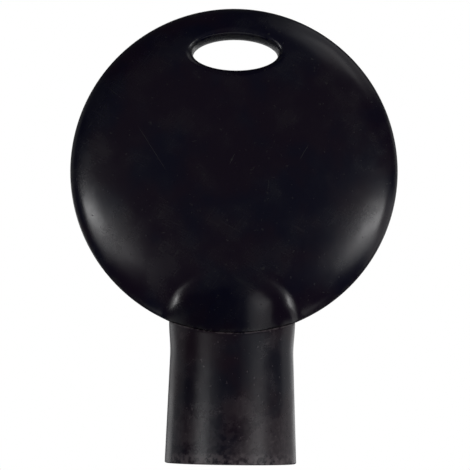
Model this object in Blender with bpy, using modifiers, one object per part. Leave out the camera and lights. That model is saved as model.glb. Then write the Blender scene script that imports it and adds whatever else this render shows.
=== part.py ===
"""Radiator bleed key: a round black head with a key-ring eye, on a tapered barrel that holds a
square brass socket. It builds three pieces, each its own object:

    head_moulding          the round head, with the root that carries on the barrel's line
    barrel_sleeve          the barrel, saddle-shaped on top to seat the head, with a tang inside the head
    square_socket_insert   the knurled brass bush with the 5 mm square that turns the bleed spindle

Metres, +Z up. The barrel's axis is Z, its mouth stands on z = 0, and the head's flat faces look
along -Y (front) and +Y (back).
"""

import math

import bmesh
import bpy
from mathutils import Matrix, Vector

MM = 0.001

# Head: a thick disc standing on edge, its axis along Y.
OVERALL_HEIGHT = 45.4 * MM
HEAD_RADIUS = 16.35 * MM
HEAD_HALF_THICKNESS = 3.0 * MM
HEAD_FLATNESS = 3  # power of the face's fall towards the rim: higher is flatter in the middle
HEAD_CENTRE_Z = OVERALL_HEIGHT - HEAD_RADIUS
HEAD_STEPS = 96
HEAD_PROFILE_POINTS = 10

# Eye for a key ring, near the top of the head.
EYE_CENTRE_Z = HEAD_CENTRE_Z + 11.6 * MM
EYE_HALF_WIDTH = 4.3 * MM
EYE_HALF_HEIGHT = 1.9 * MM

# Barrel: tapered by its moulding draft, widest at the mouth.
MOUTH_RADIUS = 6.5 * MM
DRAFT = math.radians(2.1)
MOUTH_CHAMFER = 0.3 * MM
BARREL_STEPS = 72

# Where the head meets the barrel: a cylinder about the head's own axis, just outside its rim.
SEAM_RADIUS = HEAD_RADIUS + 0.1 * MM
JOINT_GAP = 0.3 * MM  # between any two pieces that meet

# Root of the head: a cone that starts at the seam's lowest point, then a wider cone that runs out
# inside the head's faces.
ROOT_SLOPE = math.radians(31)
ROOT_SLOPE_HEIGHT = 1.9 * MM
ROOT_TOP_SLOPE = math.radians(45)
ROOT_TOP_HEIGHT = 2.7 * MM

# Tang of the barrel, inside the head, with a hole that the head's pillar fills.
TANG_ROOT_HALF = Vector((3.8, 2.3, 0.0)) * MM
TANG_ROOT_TOP = 13.6 * MM
TANG_BLADE_HALF = Vector((3.4, 0.9, 0.0)) * MM
TANG_BLADE_TOP = 22.5 * MM
TANG_CORNER = 1.2 * MM
TANG_HOLE_Z = 18.9 * MM
TANG_HOLE_RADIUS = 1.7 * MM

# Brass insert, recessed a little in the mouth.
SQUARE_ACROSS_FLATS = 5.1 * MM
SQUARE_CORNER = 0.2 * MM
INSERT_BOTTOM = 0.5 * MM
INSERT_TOP = 11.0 * MM
INSERT_RADIUS = 4.6 * MM
INSERT_CHAMFER = 0.3 * MM
KNURL_DEPTH = 0.3 * MM
KNURL_TEETH = 36
GROOVE_RADIUS = 4.1 * MM
GROOVE_BOTTOM = 5.1 * MM
GROOVE_TOP = 6.5 * MM
LEAD_IN_RADIUS = 3.5 * MM
LEAD_IN_DEPTH = 0.9 * MM

BORE_TOP = INSERT_TOP + JOINT_GAP
BEYOND = 1.0 * MM  # how far a cutter runs past the surface that it opens
TURN_WELD = 0.00001  # merges a turned profile's end points on its axis


def barrel_radius(z):
    return MOUTH_RADIUS - z * math.tan(DRAFT)


def side_corner_height():
    """Where the seam cylinder crosses the barrel's side."""
    z = HEAD_CENTRE_Z
    for _ in range(20):
        z = HEAD_CENTRE_Z - math.sqrt(SEAM_RADIUS**2 - barrel_radius(z) ** 2)
    return z


# ---------------------------------------------------------------- helpers


def clear_scene():
    for obj in list(bpy.data.objects):
        bpy.data.objects.remove(obj)


def new_collection(name):
    collection = bpy.data.collections.new(name)
    bpy.context.scene.collection.children.link(collection)
    return collection


def add_object(name, mesh, collection):
    obj = bpy.data.objects.new(name, mesh)
    collection.objects.link(obj)
    return obj


def turned(name, profile, steps, collection):
    """A solid of revolution about Z. The profile is (radius, height) from its top end to its bottom end."""
    mesh = bpy.data.meshes.new(name)
    points = [(radius, 0.0, height) for radius, height in profile]
    mesh.from_pydata(points, [(i, i + 1) for i in range(len(points) - 1)], [])
    obj = add_object(name, mesh, collection)
    screw = obj.modifiers.new("Turn", "SCREW")
    screw.axis = "Z"
    screw.angle = 2 * math.pi
    screw.steps = screw.render_steps = steps
    screw.use_merge_vertices = True
    screw.merge_threshold = TURN_WELD
    screw.use_smooth_shade = True
    return obj


def rod(name, radius, half_length, steps, collection):
    """A plain cylinder about Z, centred on its origin."""
    profile = [
        (0, half_length),
        (radius, half_length),
        (radius, -half_length),
        (0, -half_length),
    ]
    return turned(name, profile, steps, collection)


def rounded_block(name, low, high, along, corner, collection):
    """A box whose four edges along one axis are rounded."""
    mesh = bpy.data.meshes.new(name)
    bm = bmesh.new()
    bmesh.ops.create_cube(bm, size=1.0)
    size = high - low
    bmesh.ops.scale(bm, vec=size, verts=bm.verts)
    bmesh.ops.translate(bm, vec=(low + high) / 2, verts=bm.verts)
    axis = Vector((along == "X", along == "Y", along == "Z"))
    edges = [
        edge
        for edge in bm.edges
        if (edge.verts[0].co - edge.verts[1].co).cross(axis).length < TURN_WELD
    ]
    bmesh.ops.bevel(
        bm,
        geom=edges,
        offset=corner,
        segments=3,
        profile=0.5,
        affect="EDGES",
    )
    bm.to_mesh(mesh)
    bm.free()
    return add_object(name, mesh, collection)


def lay_along_y(obj):
    """Turns a piece made about Z so that its axis is Y."""
    obj.rotation_euler = (math.radians(90), 0, 0)


def boolean(obj, operation, other):
    modifier = obj.modifiers.new(f"{operation.title()} {other.name}", "BOOLEAN")
    modifier.operation = operation
    modifier.object = other
    modifier.solver = "EXACT"


def as_helper(obj):
    obj.hide_render = True
    obj.display_type = "WIRE"
    return obj


def new_material(name, colour, roughness, metallic=0.0):
    material = bpy.data.materials.new(name)
    material.use_nodes = True
    shader = material.node_tree.nodes["Principled BSDF"]
    shader.inputs["Base Color"].default_value = (*colour, 1.0)
    shader.inputs["Roughness"].default_value = roughness
    shader.inputs["Metallic"].default_value = metallic
    material.diffuse_color = (*colour, 1.0)
    return material


# ---------------------------------------------------------------- shapes shared by two pieces


def seam_cylinder(name, radius, helpers):
    """The cylinder about the head's axis that parts the head from the barrel."""
    cylinder = rod(name, radius, 10 * MM, HEAD_STEPS, helpers)
    lay_along_y(cylinder)
    cylinder.location.z = HEAD_CENTRE_Z
    return as_helper(cylinder)


def tang_shape(name, grow, bottom, helpers):
    """The tang's root and blade as two overlapping blocks. grow widens both, for the pocket round them."""
    margin = Vector((grow, grow, 0))
    root = rounded_block(
        f"{name}_root",
        -TANG_ROOT_HALF - margin + Vector((0, 0, bottom)),
        TANG_ROOT_HALF + margin + Vector((0, 0, TANG_ROOT_TOP + grow)),
        "Z",
        TANG_CORNER + grow,
        helpers,
    )
    blade = rounded_block(
        f"{name}_blade",
        -TANG_BLADE_HALF - margin + Vector((0, 0, bottom)),
        TANG_BLADE_HALF + margin + Vector((0, 0, TANG_BLADE_TOP + grow)),
        "Y",
        TANG_CORNER + grow,
        helpers,
    )
    boolean(root, "UNION", as_helper(blade))
    return as_helper(root)


def tang_hole_rod(name, radius, half_length, helpers):
    """A rod across the tang, where its hole and the head's pillar are."""
    across = rod(name, radius, half_length, 24, helpers)
    lay_along_y(across)
    across.location.z = TANG_HOLE_Z
    return as_helper(across)


# ---------------------------------------------------------------- head


def head_face_profile():
    """The disc's half outline from its back face's centre, round the rim, to its front face's centre."""
    half = []
    for i in range(HEAD_PROFILE_POINTS + 1):
        share = math.sin(i / HEAD_PROFILE_POINTS * math.pi / 2)
        fall = math.sqrt(max(0.0, 1 - share**HEAD_FLATNESS))
        half.append((share * HEAD_RADIUS, fall * HEAD_HALF_THICKNESS))
    return half + [(radius, -height) for radius, height in reversed(half[:-1])]


def root_profile():
    """The root's half outline: the two cones down to the barrel's line, and on down past the seam."""
    base = HEAD_CENTRE_Z - SEAM_RADIUS
    middle = base + ROOT_SLOPE_HEIGHT
    top = middle + ROOT_TOP_HEIGHT
    middle_radius = barrel_radius(base) - ROOT_SLOPE_HEIGHT * math.tan(ROOT_SLOPE)
    top_radius = middle_radius - ROOT_TOP_HEIGHT * math.tan(ROOT_TOP_SLOPE)
    foot = base - BEYOND
    return [
        (0, top),
        (top_radius, top),
        (middle_radius, middle),
        (barrel_radius(base), base),
        (barrel_radius(foot), foot),
        (0, foot),
    ]


def build_head(parts, helpers, material):
    head = turned("head_moulding", head_face_profile(), HEAD_STEPS, parts)
    lay_along_y(head)
    head.location.z = HEAD_CENTRE_Z

    root = as_helper(turned("head_root", root_profile(), BARREL_STEPS, helpers))
    boolean(root, "INTERSECT", seam_cylinder("seam_of_head", SEAM_RADIUS, helpers))
    boolean(head, "UNION", root)

    foot = HEAD_CENTRE_Z - SEAM_RADIUS - BEYOND
    boolean(head, "DIFFERENCE", tang_shape("pocket", JOINT_GAP, foot, helpers))
    pillar_radius = TANG_HOLE_RADIUS - JOINT_GAP
    pillar_half_length = TANG_BLADE_HALF.y + 2 * JOINT_GAP
    pillar = tang_hole_rod("pillar", pillar_radius, pillar_half_length, helpers)
    boolean(head, "UNION", pillar)

    eye = rod("eye_cutter", 1.0, 5 * MM, 64, helpers)
    eye.scale = (EYE_HALF_WIDTH, EYE_HALF_HEIGHT, 1)
    lay_along_y(eye)
    eye.location.z = EYE_CENTRE_Z
    boolean(head, "DIFFERENCE", as_helper(eye))

    head.data.materials.append(material)
    return head


# ---------------------------------------------------------------- barrel


def insert_outline(grow):
    """The insert's (radius, height) outline without its knurl, from its top edge down to its bottom edge."""
    side = INSERT_RADIUS + grow
    neck = GROOVE_RADIUS + grow
    top = INSERT_TOP + grow
    return [
        (side, top),
        (side, GROOVE_TOP - grow),
        (neck, GROOVE_TOP - grow),
        (neck, GROOVE_BOTTOM + grow),
        (side, GROOVE_BOTTOM + grow),
        (side, INSERT_BOTTOM - grow),
    ]


def build_barrel(parts, helpers, material):
    blank_top = side_corner_height() + BEYOND
    mouth = barrel_radius(0)
    profile = [
        (0, blank_top),
        (barrel_radius(blank_top), blank_top),
        (barrel_radius(MOUTH_CHAMFER), MOUTH_CHAMFER),
        (mouth - MOUTH_CHAMFER, 0),
        (0, 0),
    ]
    barrel = turned("barrel_sleeve", profile, BARREL_STEPS, parts)
    saddle = seam_cylinder("seam_of_barrel", SEAM_RADIUS + JOINT_GAP, helpers)
    boolean(barrel, "DIFFERENCE", saddle)
    boolean(barrel, "UNION", tang_shape("tang", 0.0, BORE_TOP + JOINT_GAP, helpers))
    hole = tang_hole_rod("tang_hole", TANG_HOLE_RADIUS, 3 * MM, helpers)
    boolean(barrel, "DIFFERENCE", hole)

    walls = insert_outline(JOINT_GAP)
    mouth_wall = walls[-1][0]
    bore_profile = [(0, BORE_TOP), *walls[:-1], (mouth_wall, -BEYOND), (0, -BEYOND)]
    bore = turned("bore_cutter", bore_profile, BARREL_STEPS, helpers)
    boolean(barrel, "DIFFERENCE", as_helper(bore))

    barrel.data.materials.append(material)
    return barrel


# ---------------------------------------------------------------- insert


def knurled_bar(name, helpers):
    """A prism with sharp straight teeth, a little over the insert's radius, longer than the insert."""
    mesh = bpy.data.meshes.new(name)
    bm = bmesh.new()
    corners = 2 * KNURL_TEETH
    crest = INSERT_RADIUS + 0.08 * MM
    length = INSERT_TOP - INSERT_BOTTOM + 2 * BEYOND
    bmesh.ops.create_cone(
        bm,
        cap_ends=True,
        segments=corners,
        radius1=crest,
        radius2=crest,
        depth=length,
        matrix=Matrix.Translation((0, 0, (INSERT_TOP + INSERT_BOTTOM) / 2)),
    )
    root_share = (INSERT_RADIUS - KNURL_DEPTH) / crest
    for vert in bm.verts:
        corner = round(math.atan2(vert.co.y, vert.co.x) / (2 * math.pi) * corners)
        if corner % 2:
            vert.co.x *= root_share
            vert.co.y *= root_share
    bm.to_mesh(mesh)
    bm.free()
    return add_object(name, mesh, helpers)


def build_insert(parts, helpers, material):
    outline = insert_outline(0.0)
    top_radius, top = outline[0]
    bottom_radius, bottom = outline[-1]
    profile = [
        (0, top),
        (top_radius - INSERT_CHAMFER, top),
        (top_radius, top - INSERT_CHAMFER),
        *outline[1:-1],
        (bottom_radius, bottom + INSERT_CHAMFER),
        (bottom_radius - INSERT_CHAMFER, bottom),
        (0, bottom),
    ]
    insert = turned("square_socket_insert", profile, BARREL_STEPS, parts)
    boolean(insert, "INTERSECT", as_helper(knurled_bar("knurled_bar", helpers)))

    half = SQUARE_ACROSS_FLATS / 2
    square = rounded_block(
        "square_cutter",
        Vector((-half, -half, INSERT_BOTTOM - BEYOND)),
        Vector((half, half, INSERT_TOP + BEYOND)),
        "Z",
        SQUARE_CORNER,
        helpers,
    )
    boolean(insert, "DIFFERENCE", as_helper(square))

    below = 0.5 * MM  # the lead-in cone starts this far under the insert, and keeps its slope
    narrow = half - SQUARE_CORNER
    slope = (LEAD_IN_RADIUS - narrow) / LEAD_IN_DEPTH
    cone = turned(
        "lead_in_cutter",
        [
            (0, INSERT_BOTTOM + LEAD_IN_DEPTH),
            (narrow, INSERT_BOTTOM + LEAD_IN_DEPTH),
            (LEAD_IN_RADIUS + slope * below, INSERT_BOTTOM - below),
            (0, INSERT_BOTTOM - below),
        ],
        BARREL_STEPS,
        helpers,
    )
    boolean(insert, "DIFFERENCE", as_helper(cone))

    insert.data.materials.append(material)
    return insert


# ---------------------------------------------------------------- assembly


def main():
    clear_scene()
    parts = new_collection("radiator_bleed_key")
    helpers = new_collection("cutters")

    head_plastic = new_material("Black head plastic", (0.010, 0.010, 0.012), 0.38)
    barrel_plastic = new_material("Black barrel plastic", (0.012, 0.012, 0.014), 0.42)
    brass = new_material("Brass", (0.60, 0.42, 0.16), 0.32, metallic=1.0)

    key = add_object("bleed_key", None, parts)
    for piece in (
        build_head(parts, helpers, head_plastic),
        build_barrel(parts, helpers, barrel_plastic),
        build_insert(parts, helpers, brass),
    ):
        piece.parent = key


main()
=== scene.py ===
"""The looks of the radiator bleed key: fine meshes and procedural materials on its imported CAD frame.

Metres throughout. +Z is up the key's axis, the mouth stands on z = 0 and the head's front looks
along -Y. Sizes are read from the frame; what the frame doesn't say is a named value below.
"""

import math

import bmesh
import bpy
import numpy as np
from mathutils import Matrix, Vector


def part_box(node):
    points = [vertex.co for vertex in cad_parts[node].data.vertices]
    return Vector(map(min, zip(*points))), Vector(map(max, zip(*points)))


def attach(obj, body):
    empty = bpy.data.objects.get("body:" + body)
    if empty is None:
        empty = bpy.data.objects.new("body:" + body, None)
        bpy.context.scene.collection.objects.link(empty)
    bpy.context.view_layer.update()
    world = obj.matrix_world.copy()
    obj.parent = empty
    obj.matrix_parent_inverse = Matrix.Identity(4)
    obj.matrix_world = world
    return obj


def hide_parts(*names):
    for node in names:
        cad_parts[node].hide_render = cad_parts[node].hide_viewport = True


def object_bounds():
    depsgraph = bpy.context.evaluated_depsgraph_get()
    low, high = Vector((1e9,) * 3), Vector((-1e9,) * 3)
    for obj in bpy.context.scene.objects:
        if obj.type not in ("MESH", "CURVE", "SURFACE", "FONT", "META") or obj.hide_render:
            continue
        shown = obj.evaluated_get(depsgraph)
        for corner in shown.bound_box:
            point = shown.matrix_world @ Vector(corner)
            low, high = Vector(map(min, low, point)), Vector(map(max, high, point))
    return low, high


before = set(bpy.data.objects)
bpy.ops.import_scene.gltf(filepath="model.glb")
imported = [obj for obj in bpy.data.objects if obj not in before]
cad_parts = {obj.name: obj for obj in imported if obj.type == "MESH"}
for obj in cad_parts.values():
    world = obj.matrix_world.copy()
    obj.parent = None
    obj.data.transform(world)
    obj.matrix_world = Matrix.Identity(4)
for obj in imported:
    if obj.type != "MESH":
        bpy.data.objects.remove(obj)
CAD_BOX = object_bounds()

MM = 0.001
MICRON = 1e-6

# ---------------------------------------------------------------- sizes from the frame

head_low, head_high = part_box("head_moulding")
barrel_low, barrel_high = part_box("barrel_sleeve")
insert_low, insert_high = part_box("square_socket_insert")

HEAD_RADIUS = (head_high.x - head_low.x) / 2
HEAD_Z = head_high.z - HEAD_RADIUS
ROOT_RADIUS = (head_high.y - head_low.y) / 2
MOUTH_RADIUS = (barrel_high.x - barrel_low.x) / 2
INSERT_RADIUS = (insert_high.x - insert_low.x) / 2
INSERT_BOTTOM = insert_low.z
INSERT_TOP = insert_high.z
KEY_MIDDLE = (CAD_BOX[0] + CAD_BOX[1]) / 2

# ---------------------------------------------------------------- the rest of the design

HEAD_HALF_THICKNESS = 3.0 * MM
HEAD_FLATNESS = 3  # the face falls as the square root of 1 - share of the radius ** this
ROOT_Z = HEAD_Z - math.sqrt(HEAD_RADIUS**2 - ROOT_RADIUS**2)  # where head, rim and barrel meet
ROOT_START = HEAD_Z - HEAD_RADIUS - 0.1 * MM  # where the root starts to narrow, as a cone
ROOT_SLOPE = math.radians(31)  # the cone's half angle
ROOT_SHOULDER = 0.35 * MM  # how deep the bend into the cone is rounded
ROOT_TOP_SLOPE = math.radians(45)  # on either face, a slope cuts the cone off...
ROOT_TOP = ROOT_START + 3.4 * MM  # ...and goes through this height...
ROOT_TOP_DEPTH = 3.4 * MM  # ...this far from the head's middle plane
ROOT_TOP_ROUND = 1.2 * MM
ROOT_FILLET = 2.4 * MM
DRAFT = math.radians(2.1)
FLARE = 0.28 * MM  # the barrel's sides widen again by this much up to the seam
FLARE_BOTTOM = 10.6 * MM
FLARE_TOP = 14.2 * MM

EYE_Z = HEAD_Z + 11.6 * MM
EYE_HALF_WIDTH = 4.3 * MM
EYE_HALF_HEIGHT = 1.8 * MM  # 0.1 mm less than in the CAD, because this one opens out in a rounded edge
EYE_EDGE = 0.85 * MM
EYE_WAIST = 0.06 * MM  # the moulded hole narrows by this much from each face to its middle

SEAM_OPENING = 0.03 * MM
SEAM_EDGE = 0.06 * MM
MOUTH_EDGE = 0.18 * MM
MOUTH_INNER_EDGE = 0.2 * MM
PIECE_GAP = 0.3 * MM
BORE_RADIUS = INSERT_RADIUS + PIECE_GAP
BORE_TOP = INSERT_TOP + PIECE_GAP

SQUARE_HALF = 2.55 * MM
SQUARE_CORNER = 0.2 * MM
LEAD_IN_RADIUS = 3.5 * MM
LEAD_IN_DEPTH = 0.9 * MM
LEAD_IN_LIP = 0.02 * MM  # the least that the lead-in is wider than the square, at its corners
KNURL_TEETH = 36
KNURL_DEPTH = 0.3 * MM
GROOVE_RADIUS = 4.1 * MM
GROOVE_BOTTOM = 5.1 * MM
GROOVE_TOP = 6.5 * MM
INSERT_CHAMFER = 0.35 * MM

# ---------------------------------------------------------------- how fine the meshes are

HEAD_COLUMNS = 480
HEAD_ROWS = 90  # on each face, from the eye's edge to the outline
RIM_STEPS = 13  # round the head's edge, from face to face
EYE_STEPS = 8  # through the eye, from face to face
BARREL_COLUMNS = 360
SADDLE_ROWS = 16
SADDLE_FIRST_ROW = 0.06  # share of the way from the axis to the edge
BARREL_SIDE_ROWS = 59
SEAM_EDGE_STEPS = 4
MOUTH_EDGE_STEPS = 8
MOUTH_FACE_STEPS = 5
MOUTH_INNER_EDGE_STEPS = 5
POINTS_PER_TOOTH = 20
SQUARE_WALL_ROWS = (0.1, 0.4, 0.8, 1)  # shares of the way up from the lead-in
SPREAD_SAMPLES = 40  # for each value that is spread out
BISECTIONS = 30
SADDLE_ROUNDS = 20  # the edge of the saddle settles in fewer
NOTHING = 0.001 * MM  # a radius or a thickness of no size
MERGE_DISTANCE = 0.0005 * MM
SHARP_ANGLE = math.radians(40)


def barrel_radius(z, across=0.0):
    """The barrel's radius at this height; across is the direction's share along X, from -1 to 1."""
    flared = np.clip((z - FLARE_BOTTOM) / (FLARE_TOP - FLARE_BOTTOM), 0, 1)
    flare = FLARE * flared**2 * (3 - 2 * flared) * across**6
    return MOUTH_RADIUS - z * math.tan(DRAFT) + flare


# ---------------------------------------------------------------- mesh helpers


def points(x, y, z):
    """Points from their coordinates, each an array or one number for all."""
    return np.stack(np.broadcast_arrays(x, y, z), axis=-1)


def turned(profile, angles):
    """Rows of points round the key's axis, one for each radius and height in the profile."""
    return [points(np.cos(angles) * radius, np.sin(angles) * radius, z) for radius, z in profile]


def quarter_turn(steps):
    """Sines and cosines of a quarter turn in so many steps, without its start."""
    turns = np.linspace(0, math.pi / 2, steps + 1)[1:]
    return zip(np.sin(turns), np.cos(turns))


def spread(low, high, count, weight):
    """count values from low to high, closer together where weight(value) is larger."""
    dense = np.linspace(low, high, SPREAD_SAMPLES * count)
    share = np.concatenate([[0], np.cumsum(weight((dense[1:] + dense[:-1]) / 2))])
    return np.interp(np.linspace(0, 1, count), share / share[-1], dense)


def rounded(distance, radius):
    """How far a surface drops at this distance from an edge that is rounded to this radius."""
    reach = np.clip(radius - distance, 0, radius)
    return radius - np.sqrt(np.maximum(radius**2 - reach**2, 0))


def lofted(name, rows, ring):
    """A closed mesh over rows of points, each row running round. With ring, the last row joins the first."""
    rows = np.asarray(rows)
    count, columns = rows.shape[:2]
    quads = []
    for i in range(count if ring else count - 1):
        this, following = i * columns, (i + 1) % count * columns
        for j in range(columns):
            k = (j + 1) % columns
            quads.append((this + j, this + k, following + k, following + j))
    mesh = bpy.data.meshes.new(name)
    mesh.from_pydata(rows.reshape(-1, 3).tolist(), [], quads)
    bm = bmesh.new()
    bm.from_mesh(mesh)
    bmesh.ops.remove_doubles(bm, verts=bm.verts, dist=MERGE_DISTANCE)
    bmesh.ops.recalc_face_normals(bm, faces=bm.faces)
    bm.to_mesh(mesh)
    bm.free()
    mesh.shade_smooth()
    mesh.set_sharp_from_angle(angle=SHARP_ANGLE)
    piece = bpy.data.objects.new(name, mesh)
    bpy.context.scene.collection.objects.link(piece)
    return piece


def place(piece, node, material):
    """Gives a piece its material, parents it to the root body's empty and hides the CAD node that it is
    shown for.
    """
    piece.data.materials.clear()
    piece.data.materials.append(material)
    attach(piece, "root")
    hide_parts(node)


# ---------------------------------------------------------------- head


def disc_distance(x, y, z):
    """Roughly how far a point is outside the round head without its root."""
    share = np.hypot(x, z - HEAD_Z) / HEAD_RADIUS
    level = (y / HEAD_HALF_THICKNESS) ** 2 + share**HEAD_FLATNESS - 1
    slope_out = HEAD_FLATNESS * share ** (HEAD_FLATNESS - 1) / HEAD_RADIUS
    slope_y = 2 * y / HEAD_HALF_THICKNESS**2
    slope = np.hypot(slope_out, slope_y)
    return level / np.maximum(slope, 1 / HEAD_RADIUS)  # the slope is nothing in the head's middle


def inside_both(first, second, radius):
    """Distance outside the solid that two distances share, with the edge between them rounded."""
    edge = np.hypot(np.maximum(radius + first, 0), np.maximum(radius + second, 0))
    return np.minimum(-radius, np.maximum(first, second)) + edge


def inside_either(first, second, radius):
    """Distance outside the solid that two distances make together, with a fillet between them."""
    corner = np.hypot(np.maximum(radius - first, 0), np.maximum(radius - second, 0))
    return np.maximum(radius, np.minimum(first, second)) - corner


def root_distance(x, y, z):
    """How far a point is outside the head's root: the barrel's line, a cone, and a slope on either face."""
    radius = np.hypot(x, y)
    narrowing = (z - ROOT_START) * math.tan(ROOT_SLOPE)
    beside_cone = (radius - barrel_radius(ROOT_START) + narrowing) * math.cos(ROOT_SLOPE)
    side = inside_both(radius - barrel_radius(z), beside_cone, ROOT_SHOULDER)
    above, proud = z - ROOT_TOP, np.abs(y) - ROOT_TOP_DEPTH
    above_slope = above * math.cos(ROOT_TOP_SLOPE) + proud * math.sin(ROOT_TOP_SLOPE)
    return inside_both(side, above_slope, ROOT_TOP_ROUND)


def head_half_thickness(x, z):
    """Half the head's thickness at x, z: the disc and its root, with a fillet between them."""
    low, high = np.zeros_like(x), np.full_like(x, 1.2 * ROOT_RADIUS)  # no point is farther out
    for _ in range(BISECTIONS):
        y = (low + high) / 2
        outside = inside_either(disc_distance(x, y, z), root_distance(x, y, z), ROOT_FILLET) > 0
        low, high = np.where(outside, low, y), np.where(outside, y, high)
    thickness = (low + high) / 2
    return np.where(thickness < NOTHING, 0, thickness)


def head_columns(count):
    """Directions round the eye, closer together at its narrow ends, over the root and at its corners."""
    corner = math.atan2(ROOT_RADIUS, EYE_Z - ROOT_Z)

    def weight(angle):
        off_down = np.abs(angle + math.pi / 2)  # radians, as are the widths below
        eye_ends = 1.5 * np.exp(-(np.sin(angle) ** 4) / 0.02)
        root = 1.2 * np.exp(-((off_down / 0.3) ** 4))
        root_corners = 4 * np.exp(-np.abs(off_down - corner) / 0.03)
        return 1 + eye_ends + root + root_corners

    return spread(-1.5 * math.pi, 0.5 * math.pi, count + 1, weight)[:-1]


def row_weight(reach, first, last, across, up):
    """How close together the face's rows are, from first to last along one direction from the eye."""

    def crowding(distance, width):
        return 0.35 / np.sqrt(width * (distance + width))

    off_root = np.abs(root_distance(reach * across, HEAD_HALF_THICKNESS, EYE_Z + reach * up))
    root = 1 / (0.12 * MM + 0.5 * off_root)
    return 1 / MM + crowding(last - reach, 0.02 * MM) + crowding(reach - first, 0.05 * MM) + root


def head_rows(angles, count):
    """The face's x and z and how far they are from its outline and from the eye's edge, row by row."""
    offset = EYE_Z - HEAD_Z
    across, up = np.cos(angles), np.sin(angles)
    start = 1 / np.hypot(across / EYE_HALF_WIDTH, up / EYE_HALF_HEIGHT)
    end = np.sqrt(HEAD_RADIUS**2 - (offset * across) ** 2) - offset * up
    columns = [
        spread(line[0], line[1], count, lambda reach: row_weight(reach, *line))
        for line in zip(start, end, across, up)
    ]
    reach = np.stack(columns, axis=-1)
    return reach * across, EYE_Z + reach * up, end - reach, reach - start


def build_head():
    x, z, off_outline, off_eye = head_rows(head_columns(HEAD_COLUMNS), HEAD_ROWS)
    half = head_half_thickness(x, z)
    half -= rounded(off_outline, np.minimum(SEAM_EDGE, half / 2))
    half -= rounded(off_eye, EYE_EDGE)
    rim = [
        points(x[-1], -math.cos(turn) * half[-1], z[-1])
        for turn in np.linspace(0, math.pi, RIM_STEPS + 1)[1:-1]
    ]
    eye_wall = []
    for depth in np.linspace(1, -1, EYE_STEPS + 1)[1:-1]:
        waist = 1 - EYE_WAIST * (1 - depth**2) / np.hypot(x[0], z[0] - EYE_Z)
        eye_wall.append(points(x[0] * waist, depth * half[0], EYE_Z + (z[0] - EYE_Z) * waist))
    rows = [*points(x, -half, z), *rim, *points(x, half, z)[::-1], *eye_wall]
    return lofted("head_shell", rows, ring=True)


# ---------------------------------------------------------------- barrel


def saddle_height(x):
    """The barrel's top: the head's outline, a hair's breadth away from it."""
    return HEAD_Z - np.sqrt((HEAD_RADIUS + SEAM_OPENING) ** 2 - x**2)


def build_barrel():
    angles = np.linspace(0, 2 * math.pi, BARREL_COLUMNS, endpoint=False)
    across = np.cos(angles)
    edge_z = np.full_like(angles, ROOT_Z)
    for _ in range(SADDLE_ROUNDS):
        edge_z = saddle_height(barrel_radius(edge_z, across) * across)
    edge_radius = barrel_radius(edge_z, across)

    profile = [(NOTHING, saddle_height(0))]
    for share in np.linspace(SADDLE_FIRST_ROW, 1, SADDLE_ROWS):
        radius = share * (edge_radius - SEAM_EDGE)
        profile.append((radius, saddle_height(radius * across)))
    for sine, cosine in quarter_turn(SEAM_EDGE_STEPS):
        profile.append((edge_radius - SEAM_EDGE * (1 - sine), edge_z - SEAM_EDGE * (1 - cosine)))
    for share in np.linspace(0, 1, BARREL_SIDE_ROWS + 1)[1:]:
        z = (edge_z - SEAM_EDGE) * (1 - share) + MOUTH_EDGE * share
        profile.append((barrel_radius(z, across), z))
    for sine, cosine in quarter_turn(MOUTH_EDGE_STEPS):
        profile.append((MOUTH_RADIUS - MOUTH_EDGE * (1 - cosine), MOUTH_EDGE * (1 - sine)))
    inner = BORE_RADIUS + MOUTH_INNER_EDGE
    for share in np.linspace(0, 1, MOUTH_FACE_STEPS + 1)[1:]:
        profile.append(((MOUTH_RADIUS - MOUTH_EDGE) * (1 - share) + inner * share, 0))
    for sine, cosine in quarter_turn(MOUTH_INNER_EDGE_STEPS):
        profile.append((inner - MOUTH_INNER_EDGE * sine, MOUTH_INNER_EDGE * (1 - cosine)))
    rib_radius = GROOVE_RADIUS + PIECE_GAP
    profile += [
        (BORE_RADIUS, GROOVE_BOTTOM + PIECE_GAP),
        (rib_radius, GROOVE_BOTTOM + PIECE_GAP),
        (rib_radius, GROOVE_TOP - PIECE_GAP),
        (BORE_RADIUS, GROOVE_TOP - PIECE_GAP),
        (BORE_RADIUS, BORE_TOP),
        (NOTHING, BORE_TOP),
    ]
    return lofted("barrel_shell", turned(profile, angles), ring=False)


# ---------------------------------------------------------------- insert


def square_reach(angles):
    """Distance from the axis to the rounded square socket's wall, in each direction."""
    across, deep = np.abs(np.cos(angles)), np.abs(np.sin(angles))
    flat = SQUARE_HALF / np.maximum(across, deep)
    corner = SQUARE_HALF - SQUARE_CORNER
    along = corner * (across + deep)
    aside = 2 * corner**2 - SQUARE_CORNER**2
    arc = along + np.sqrt(np.maximum(along**2 - aside, 0))
    in_corner = (flat * across > corner) & (flat * deep > corner)
    return np.where(in_corner, arc, flat)


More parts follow.
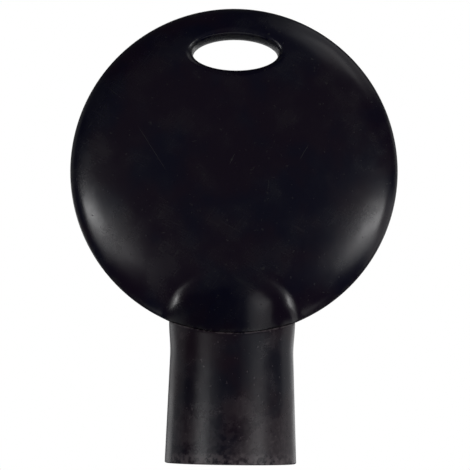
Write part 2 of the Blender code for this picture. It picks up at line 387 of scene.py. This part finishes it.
def build_insert():
    angles = np.linspace(0, 2 * math.pi, POINTS_PER_TOOTH * KNURL_TEETH, endpoint=False)
    wave = 1 - np.abs(2 * (angles * KNURL_TEETH / (2 * math.pi) % 1) - 1)
    flattened = np.clip(1.2 * wave - 0.1, 0, 1)  # 0 on a crest and 1 between two
    outside = INSERT_RADIUS - KNURL_DEPTH * flattened
    groove = np.minimum(GROOVE_RADIUS, outside)
    wall = square_reach(angles)
    mouth = np.maximum(LEAD_IN_RADIUS, wall + LEAD_IN_LIP)
    slope = LEAD_IN_DEPTH / (LEAD_IN_RADIUS - SQUARE_HALF)
    wall_bottom = INSERT_BOTTOM + slope * (mouth - wall)
    profile = [
        (outside - INSERT_CHAMFER, INSERT_TOP),
        (outside, INSERT_TOP - INSERT_CHAMFER),
        (outside, GROOVE_TOP),
        (groove, GROOVE_TOP),
        (groove, GROOVE_BOTTOM),
        (outside, GROOVE_BOTTOM),
        (outside, INSERT_BOTTOM + INSERT_CHAMFER),
        (outside - 0.6 * INSERT_CHAMFER, INSERT_BOTTOM + 0.25 * INSERT_CHAMFER),
        (outside - INSERT_CHAMFER, INSERT_BOTTOM),
        (mouth, INSERT_BOTTOM),
        (wall, wall_bottom),
    ]
    profile += [
        (wall, wall_bottom * (1 - share) + INSERT_TOP * share) for share in SQUARE_WALL_ROWS
    ]
    return lofted("brass_insert", turned(profile, angles), ring=True)


# ---------------------------------------------------------------- shader nodes


def node(tree, kind, inputs=None, **settings):
    """Adds a shader node. inputs maps its sockets to values or to other nodes' outputs."""
    made = tree.nodes.new(f"ShaderNode{kind}")
    for key, value in settings.items():
        setattr(made, key, value)
    for key, value in (inputs or {}).items():
        if isinstance(value, bpy.types.NodeSocket):
            tree.links.new(value, made.inputs[key])
        else:
            made.inputs[key].default_value = value
    return made


def calc(tree, operation, first, second=0.0, third=0.0):
    made = node(tree, "Math", {0: first, 1: second, 2: third}, operation=operation)
    return made.outputs[0]


def carried_on(tree, operation, first, *others):
    """The operation between the first two values, then between its result and the next, and so on."""
    for other in others:
        first = calc(tree, operation, first, other)
    return first


def total(tree, *terms):
    """The sum of (socket, weight) pairs and plain numbers."""
    result = 0.0
    for term in terms:
        if isinstance(term, tuple):
            result = calc(tree, "MULTIPLY_ADD", term[0], term[1], result)
        else:
            result = calc(tree, "ADD", result, term)
    return result


def length(tree, x, y):
    """How long the vector is that has these two parts."""
    vector = node(tree, "CombineXYZ", {"X": x, "Y": y}).outputs[0]
    return node(tree, "VectorMath", {0: vector}, operation="LENGTH").outputs["Value"]


def ramp(tree, value, low, high, bottom=0.0, top=1.0):
    """value's smooth step from bottom, at low, to top, at high."""
    inputs = {"Value": value, "From Min": low, "From Max": high, "To Min": bottom, "To Max": top}
    return node(tree, "MapRange", inputs, interpolation_type="SMOOTHSTEP").outputs[0]


def mixed(tree, share, first, second):
    """The colour that is share of the way from first to second."""
    made = tree.nodes.new("ShaderNodeMix")
    made.data_type = "RGBA"
    sockets = {socket.name: socket for socket in made.inputs if socket.enabled}
    for key, value in (("Factor", share), ("A", first), ("B", second)):
        if isinstance(value, bpy.types.NodeSocket):
            tree.links.new(value, sockets[key])
        else:
            sockets[key].default_value = (*value, 1)
    return next(socket for socket in made.outputs if socket.enabled)


def placed(tree, point, location=(0, 0, 0), turn=(0, 0, 0), scale=(1, 1, 1)):
    """point, moved by -location, turned by -turn and then stretched by scale."""
    angles = tuple(math.radians(angle) for angle in turn)
    inputs = {"Vector": point, "Location": location, "Rotation": angles}
    moved = node(tree, "Mapping", inputs, vector_type="TEXTURE").outputs[0]
    return node(tree, "Mapping", {"Vector": moved, "Scale": scale}).outputs[0]


def noise(tree, point, grain, detail=2.0, stretch=(1, 1, 1), turn=(0, 0, 0)):
    """Noise from 0 to 1 whose features are about grain metres across, times stretch along each axis."""
    scale = tuple(1 / (grain * factor) for factor in stretch)
    local = placed(tree, point, turn=turn, scale=scale)
    inputs = {"Vector": local, "Scale": 1.0, "Detail": detail}
    return node(tree, "TexNoise", inputs).outputs["Fac"]


def hairlines(tree, point, grain, turn, stretch):
    """Thin long marks that run one way: the crests of a noise drawn out along one axis, in patches."""
    streak = noise(tree, point, grain, detail=1.0, stretch=stretch, turn=turn)
    off_crest = calc(tree, "ABSOLUTE", calc(tree, "SUBTRACT", streak, 0.5))
    fine = ramp(tree, off_crest, 0.0, 0.012, 1.0, 0.0)
    patches = ramp(tree, noise(tree, point, 3.5 * MM), 0.5, 0.62)
    return calc(tree, "MULTIPLY", fine, patches)


def one_scratch(tree, point, middle, lean, half_length, half_width):
    """A straight scratch on the front, leaning so many degrees off upright."""
    local = placed(tree, point, location=middle, turn=(0, lean, 0))
    xyz = node(tree, "SeparateXYZ", {0: local}).outputs
    across = ramp(tree, calc(tree, "ABSOLUTE", xyz["X"]), 0.0, half_width, 1.0, 0.0)
    along = ramp(tree, calc(tree, "ABSOLUTE", xyz["Z"]), 0.5 * half_length, half_length, 1.0, 0.0)
    front = calc(tree, "LESS_THAN", xyz["Y"], 0.0)
    return carried_on(tree, "MULTIPLY", across, along, front)


def new_material(name):
    """A material with its node tree, its shader's inputs, and the shaded point whole and as x, y and z."""
    material = bpy.data.materials.new(name)
    material.use_nodes = True
    tree = material.node_tree
    point = node(tree, "TexCoord").outputs["Object"]
    xyz = node(tree, "SeparateXYZ", {0: point}).outputs
    return material, tree, tree.nodes["Principled BSDF"].inputs, point, xyz


def finish_surface(tree, shader, colour, rough, height):
    """Links the colour, the roughness and the height of the surface to the shader."""
    bump = node(tree, "Bump", {"Height": height, "Strength": 1.0, "Distance": 1.0})
    tree.links.new(colour, shader["Base Color"])
    tree.links.new(rough, shader["Roughness"])
    tree.links.new(bump.outputs[0], shader["Normal"])


# ---------------------------------------------------------------- plastics and brass


def plastic(name, dark, tint, wear_and_painted_light_colour, roughness, wear_and_painted_light_at, marks):
    """Moulded black plastic. The function for where it is lightened, called with tree and xyz, and
    marks(tree, point) say where it is rubbed and scratched; on the barrel that lightening is also painted
    light: a painted reflection of the floor and a painted highlight on the seam.
    """
    material, tree, shader, point, xyz = new_material(name)
    cloud = noise(tree, point, 6 * MM, detail=3.0)
    smudge = ramp(tree, noise(tree, point, 3.5 * MM, detail=4.0), 0.42, 0.68)
    grain = noise(tree, point, 0.16 * MM, detail=2.0)
    ripple = noise(tree, point, 1.5 * MM, detail=1.0, stretch=(1, 1, 3.5))
    speckle = ramp(tree, noise(tree, point, 0.35 * MM, detail=1.0), 0.7, 0.78)
    ragged = ramp(tree, noise(tree, point, 0.5 * MM, detail=4.0), 0.36, 0.62)
    # rubbed places, made ragged; on the barrel they also hold a painted reflection and a painted highlight
    wear_and_painted_light = calc(tree, "MULTIPLY", wear_and_painted_light_at(tree, xyz), ragged)
    scratch = marks(tree, point)

    clean = mixed(tree, ramp(tree, cloud, 0.4, 0.6), dark, tint)
    # smudges, specks, rubbing, scratches and, on the barrel, painted light, all drawing the colour towards
    # the pale one
    dust_wear_and_painted_light = total(tree, (smudge, 0.10), (speckle, 0.35), (wear_and_painted_light, 0.75), (scratch, 0.5))
    colour = mixed(tree, dust_wear_and_painted_light, clean, wear_and_painted_light_colour)
    rough = total(
        tree,
        roughness,
        (smudge, 0.07),
        (grain, 0.06),
        (wear_and_painted_light, 0.10),
        (scratch, 0.15),
        (speckle, 0.10),
    )
    height = total(
        tree,
        (ripple, 9 * MICRON),
        (cloud, 14 * MICRON),
        (grain, 0.7 * MICRON),
        (speckle, 1.5 * MICRON),
        (wear_and_painted_light, -2 * MICRON),
        (scratch, -3 * MICRON),
    )
    finish_surface(tree, shader, colour, rough, height)
    return material


def from_head_axis(tree, xyz):
    """How far the point is from the head's own axis, which runs along Y."""
    return length(tree, xyz["X"], calc(tree, "SUBTRACT", xyz["Z"], HEAD_Z))


def head_edges(tree, xyz):
    """1 round the eye, and up to 0.6 at the head's rim."""
    reach = from_head_axis(tree, xyz)
    rim = ramp(tree, reach, 0.962 * HEAD_RADIUS, 0.998 * HEAD_RADIUS, 0.0, 0.6)
    across = calc(tree, "DIVIDE", xyz["X"], EYE_HALF_WIDTH)
    rise = calc(tree, "DIVIDE", calc(tree, "SUBTRACT", xyz["Z"], EYE_Z), EYE_HALF_HEIGHT)
    eye = ramp(tree, length(tree, across, rise), 1.02, 1.14, 1.0, 0.0)
    return calc(tree, "MAXIMUM", rim, eye)


def head_marks(tree, point):
    """The front's one long scratch and its few short nicks, among fine marks all over."""
    slanting = hairlines(tree, point, 1.4 * MM, (0, 35, 0), (0.25, 1, 9))
    crossing = hairlines(tree, point, 1.8 * MM, (0, -62, 0), (0.25, 1, 9))
    result = calc(tree, "MULTIPLY", calc(tree, "MAXIMUM", slanting, crossing), 0.4)
    for x, up, lean, half_length, half_width in (
        # millimetres right of and above the head's axis, degrees off upright, millimetres
        (-8.1, 1.8, -33, 3.2, 0.045),
        (-0.2, 0.8, 25, 0.7, 0.07),
        (6.9, 1.6, 30, 1.0, 0.06),
        (3.4, -1.7, 5, 0.6, 0.05),
        (-11.9, 7.4, -50, 0.9, 0.035),
    ):
        middle = (x * MM, 0, HEAD_Z + up * MM)
        nick = one_scratch(tree, point, middle, lean, half_length * MM, half_width * MM)
        result = calc(tree, "MAXIMUM", result, nick)
    return result


def barrel_rubbing_and_painted_light(tree, xyz):
    """1 at the barrel's mouth and 0.8 at the seam, with a little over the bottom 9 mm that fades upwards. At
    the mouth this is rubbing together with a painted reflection of the floor; along the seam it is a painted
    highlight on the hairline; over the bottom it is a painted reflection of the floor.
    """
    # rubbing at the mouth, together with a painted reflection of the floor
    mouth = ramp(tree, xyz["Z"], 0.3 * MM, 1.5 * MM, 1.0, 0.0)
    # painted reflection of the floor: lighter towards the mouth
    painted_floor_light = ramp(tree, xyz["Z"], 0.0, 9.0 * MM, 0.2, 0.0)
    reach = from_head_axis(tree, xyz)
    # painted highlight on the seam's hairline
    seam = ramp(tree, reach, HEAD_RADIUS + 0.1 * MM, HEAD_RADIUS + 0.22 * MM, 0.8, 0.0)
    return carried_on(tree, "MAXIMUM", mouth, seam, painted_floor_light)


def barrel_marks(tree, point):
    """Fine marks down and across the barrel."""
    down = hairlines(tree, point, 1.1 * MM, (0, 4, 0), (0.25, 0.25, 8))
    slanting = hairlines(tree, point, 1.6 * MM, (0, 55, 0), (0.25, 1, 6))
    return calc(tree, "MULTIPLY", calc(tree, "MAXIMUM", down, slanting), 0.6)


def brass():
    """Turned and broached brass, tarnished where nothing rubs it."""
    material, tree, shader, point, xyz = new_material("brass")
    shader["Metallic"].default_value = 1.0
    radius = length(tree, xyz["X"], xyz["Y"])
    turning = calc(tree, "SINE", calc(tree, "MULTIPLY", radius, 2 * math.pi / (0.09 * MM)))
    on_face = ramp(tree, xyz["Z"], INSERT_BOTTOM + 0.05 * MM, INSERT_BOTTOM + 0.12 * MM, 1.0, 0.0)
    rings = calc(tree, "MULTIPLY", turning, on_face)
    broached = noise(tree, point, 0.25 * MM, detail=2.0, stretch=(1, 1, 40))
    tarnish = ramp(tree, noise(tree, point, 1.2 * MM, detail=4.0), 0.42, 0.7)
    deeper = ramp(tree, xyz["Z"], 0.5 * MM, 6 * MM, 0.25, 0.8)
    stain = total(tree, (calc(tree, "MULTIPLY", tarnish, deeper), 0.8), (broached, 0.12))

    colour = mixed(tree, stain, (0.66, 0.46, 0.17), (0.24, 0.14, 0.055))
    rough = total(tree, 0.2, (stain, 0.3), (broached, 0.08))
    height = total(tree, (rings, 1.2 * MICRON), (broached, 4 * MICRON), (tarnish, -1 * MICRON))
    finish_surface(tree, shader, colour, rough, height)
    return material


# ---------------------------------------------------------------- stage, lights and camera

CAMERA_DISTANCE = 200 * MM
CAMERA_HEIGHT = 5.9 * MM
CAMERA_ASIDE = 0.18 * MM
CAMERA_AIM_Z = 22.6 * MM
CAMERA_FRAME = 46.8 * MM  # side of the square picture, at the key
CAMERA_ROLL = math.radians(0.7)
CAMERA_CLIP = (0.01, 20)  # nearest and farthest that it sees

LIGHT_RING = 0.5  # from the key's middle to each light
LIGHTS = {
    # name: degrees right of the camera and up, degrees wide and high, brightness (1 shows as white)
    "left": (-46, -12, 34, 13, 1.3),
    "left_core": (-51, -7, 22, 7, 7.5),
    "left_inner": (-28, -10, 11, 13, 1.0),
    "left_low": (-50, -20, 30, 8, 0.4),
    "right": (50, -12, 36, 14, 1.6),
    "right_core": (50, -8, 24, 8, 5.5),
    "right_inner": (29, -10, 12, 12, 0.65),
    "right_low": (55, -20, 40, 8, 0.8),
    "right_strip": (46, 1, 56, 6, 0.25),
    "right_side": (92, -15, 40, 26, 0.6),
    "right_back": (124, 4, 36, 40, 0.3),
    "left_back": (-120, 4, 50, 50, 0.14),
    "top_right": (46, 48, 26, 18, 0.6),
    "front": (0, 12, 80, 56, 0.045),
    "high_right": (84, 55, 50, 34, 0.42),
    "behind_left": (-142, -5, 26, 16, 0.6),
    "behind_right": (174, 12, 40, 32, 0.4),
    "edge_right": (152, -4, 22, 12, 0.6),
    "below": (20, -86, 60, 60, 0.5),
}
ROOM_BRIGHTNESS = 0.04
ROOM_COLOUR = (0.94, 0.97, 1.08, 1)
WHITE = (1, 1, 1, 1)
FLOOR_HALF_SIZE = 3.0
FLOOR_Z = -0.01 * MM


def direction(azimuth, elevation):
    """From the key towards a point so many degrees right of the camera and so many up."""
    turn, rise = math.radians(azimuth), math.radians(elevation)
    level = math.cos(rise)
    return Vector((math.sin(turn) * level, -math.cos(turn) * level, math.sin(rise)))


def build_lights():
    """Rectangular lights round the key that all face its middle and that the camera doesn't see."""
    for name, (azimuth, elevation, wide, high, brightness) in LIGHTS.items():
        light = bpy.data.lights.new(name, "AREA")
        light.shape = "RECTANGLE"
        light.size = 2 * LIGHT_RING * math.tan(math.radians(wide / 2))
        light.size_y = 2 * LIGHT_RING * math.tan(math.radians(high / 2))
        light.energy = brightness * math.pi * light.size * light.size_y
        lamp = bpy.data.objects.new(name, light)
        towards = direction(azimuth, elevation)
        lamp.location = KEY_MIDDLE + towards * LIGHT_RING
        lamp.rotation_euler = towards.to_track_quat("Z", "Y").to_euler()
        lamp.visible_camera = False
        bpy.context.scene.collection.objects.link(lamp)


def build_world():
    """White behind the key for the camera, and a dim room for everything else."""
    world = bpy.data.worlds.new("studio")
    world.use_nodes = True
    tree = world.node_tree
    backdrop = node(tree, "Background", {"Color": WHITE})
    room = tree.nodes["Background"]
    room.inputs["Color"].default_value = ROOM_COLOUR
    room.inputs["Strength"].default_value = ROOM_BRIGHTNESS
    seen = node(tree, "LightPath").outputs["Is Camera Ray"]
    either = node(tree, "MixShader", {0: seen, 1: room.outputs[0], 2: backdrop.outputs[0]})
    tree.links.new(either.outputs[0], tree.nodes["World Output"].inputs["Surface"])
    bpy.context.scene.world = world


def build_floor():
    """A white floor that only the camera sees, and only from above."""
    mesh = bpy.data.meshes.new("floor")
    bm = bmesh.new()
    bmesh.ops.create_grid(bm, x_segments=1, y_segments=1, size=FLOOR_HALF_SIZE)
    bm.to_mesh(mesh)
    bm.free()
    floor = bpy.data.objects.new("floor", mesh)
    floor.location.z = FLOOR_Z
    bpy.context.scene.collection.objects.link(floor)
    material = bpy.data.materials.new("pale_floor")
    material.use_nodes = True
    tree = material.node_tree
    glow = node(tree, "Emission", {"Color": WHITE, "Strength": 1.0})
    clear = node(tree, "BsdfTransparent")
    from_below = node(tree, "NewGeometry").outputs["Backfacing"]
    inputs = {0: from_below, 1: glow.outputs[0], 2: clear.outputs[0]}
    one_sided = node(tree, "MixShader", inputs)
    tree.links.new(one_sided.outputs[0], tree.nodes["Material Output"].inputs["Surface"])
    mesh.materials.append(material)
    floor.visible_glossy = False
    floor.visible_diffuse = False
    floor.visible_shadow = False


def build_camera():
    """A camera low in front of the key, which looks up a little and is a hair off level."""
    data = bpy.data.cameras.new("camera")
    camera = bpy.data.objects.new("camera", data)
    camera.location = (CAMERA_ASIDE, -CAMERA_DISTANCE, CAMERA_HEIGHT)
    look = Vector((CAMERA_ASIDE, 0, CAMERA_AIM_Z)) - camera.location
    data.lens = data.sensor_width * look.length / CAMERA_FRAME
    camera.rotation_euler = look.to_track_quat("-Z", "Y").to_euler()
    camera.rotation_euler.rotate_axis("Z", CAMERA_ROLL)
    data.clip_start, data.clip_end = CAMERA_CLIP
    bpy.context.scene.collection.objects.link(camera)
    bpy.context.scene.camera = camera


# ---------------------------------------------------------------- the scene

head_plastic = plastic(
    "black_head_plastic",
    dark=(0.0020, 0.0016, 0.0130),
    tint=(0.0070, 0.0018, 0.0110),
    wear_and_painted_light_colour=(0.035, 0.034, 0.034),
    roughness=0.19,
    wear_and_painted_light_at=head_edges,
    marks=head_marks,
)
barrel_plastic = plastic(
    "black_barrel_plastic",
    dark=(0.0028, 0.0026, 0.0120),
    tint=(0.0120, 0.0036, 0.0110),
    # pale colour for the barrel's rubbing, and for its painted reflection and painted highlight
    wear_and_painted_light_colour=(0.150, 0.122, 0.132),
    roughness=0.21,
    wear_and_painted_light_at=barrel_rubbing_and_painted_light,
    marks=barrel_marks,
)
place(build_head(), "head_moulding", head_plastic)
place(build_barrel(), "barrel_sleeve", barrel_plastic)
place(build_insert(), "square_socket_insert", brass())
build_floor()
build_world()
build_lights()
build_camera()
bpy.context.scene.view_settings.view_transform = "Standard"
